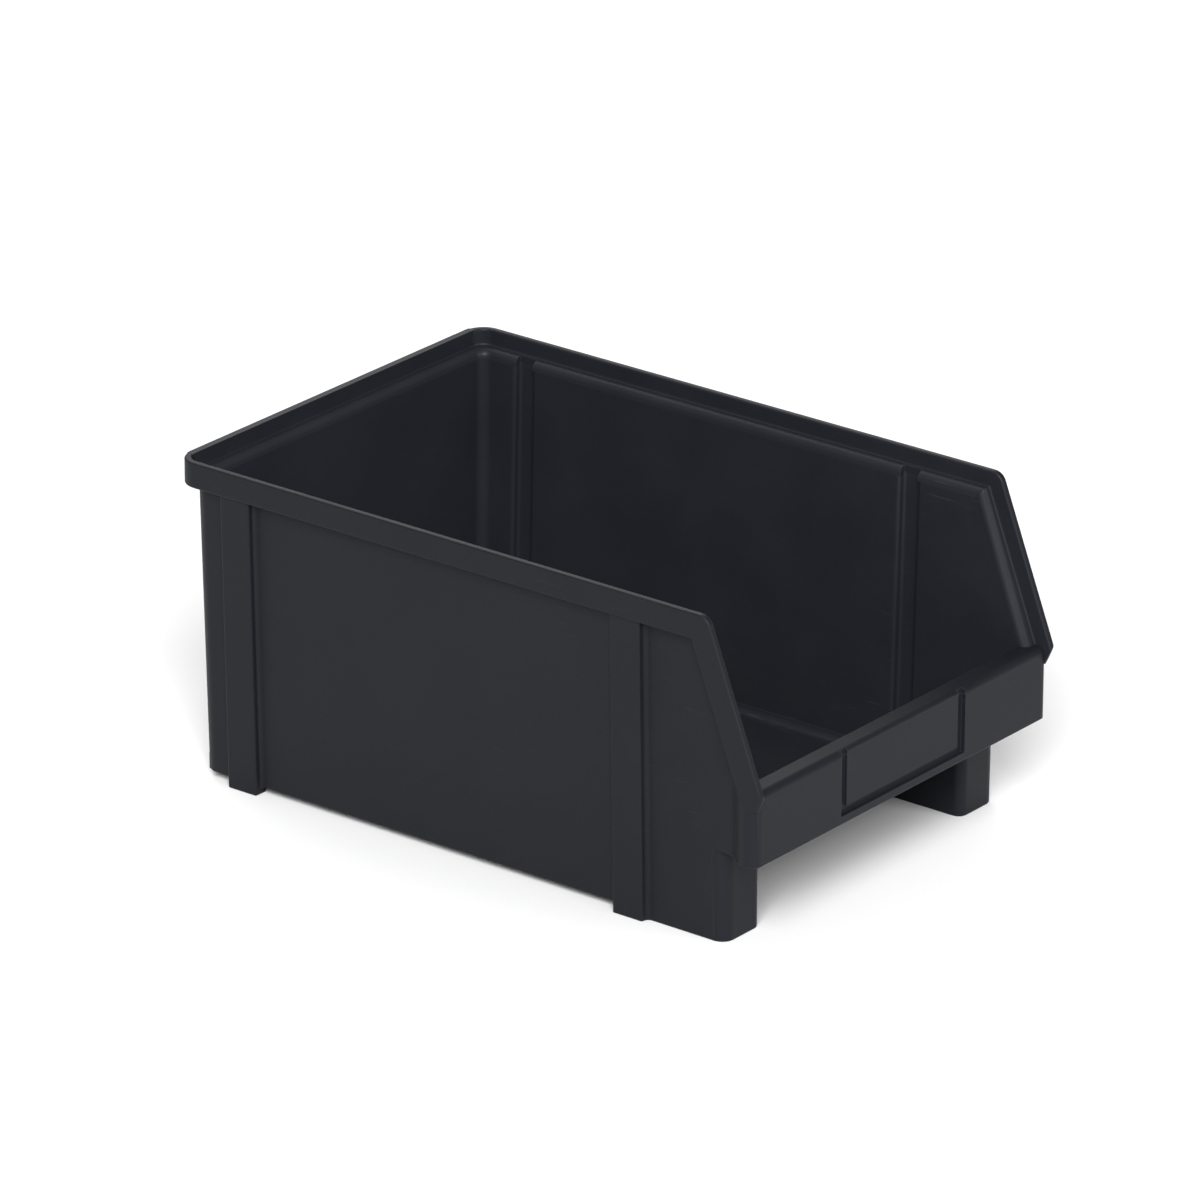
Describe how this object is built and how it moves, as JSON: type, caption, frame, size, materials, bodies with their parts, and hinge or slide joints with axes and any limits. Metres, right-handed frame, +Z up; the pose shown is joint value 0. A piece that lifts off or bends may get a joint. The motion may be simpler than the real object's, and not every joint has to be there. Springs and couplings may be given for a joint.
{
  "type": "stacking storage bin",
  "caption": "Open-fronted small-parts bin with a stepped stacking rim, ribbed side walls, sloping front edge, front lip with a card slot and feet that seat on the bin below.",
  "frame": {"origin": "middle of the bin's footprint (rim width by overall length) at the level of its feet", "axes": "+Z up; the open front faces -Y and the rear wall +Y; +X is the right-hand side of someone standing in front of the open end and looking into it"},
  "size_m": [0.105, 0.1586, 0.075],
  "materials": {
    "polypropylene": "fine spark-eroded texture, carbon-black polypropylene"
  },
  "bodies": {
    "root": {"floor_pan": "polypropylene", "front_ramp": "polypropylene", "rear_wall": "polypropylene", "rear_rim": "polypropylene", "front_lip": "polypropylene", "label_holder": "polypropylene", "left_wall": "polypropylene", "left_rim": "polypropylene", "left_slope_rim": "polypropylene", "left_front_leg": "polypropylene", "left_rear_pilaster": "polypropylene", "left_front_pilaster": "polypropylene", "right_wall": "polypropylene", "right_rim": "polypropylene", "right_slope_rim": "polypropylene", "right_front_leg": "polypropylene", "right_rear_pilaster": "polypropylene", "right_front_pilaster": "polypropylene"}
  },
  "joints": []
}
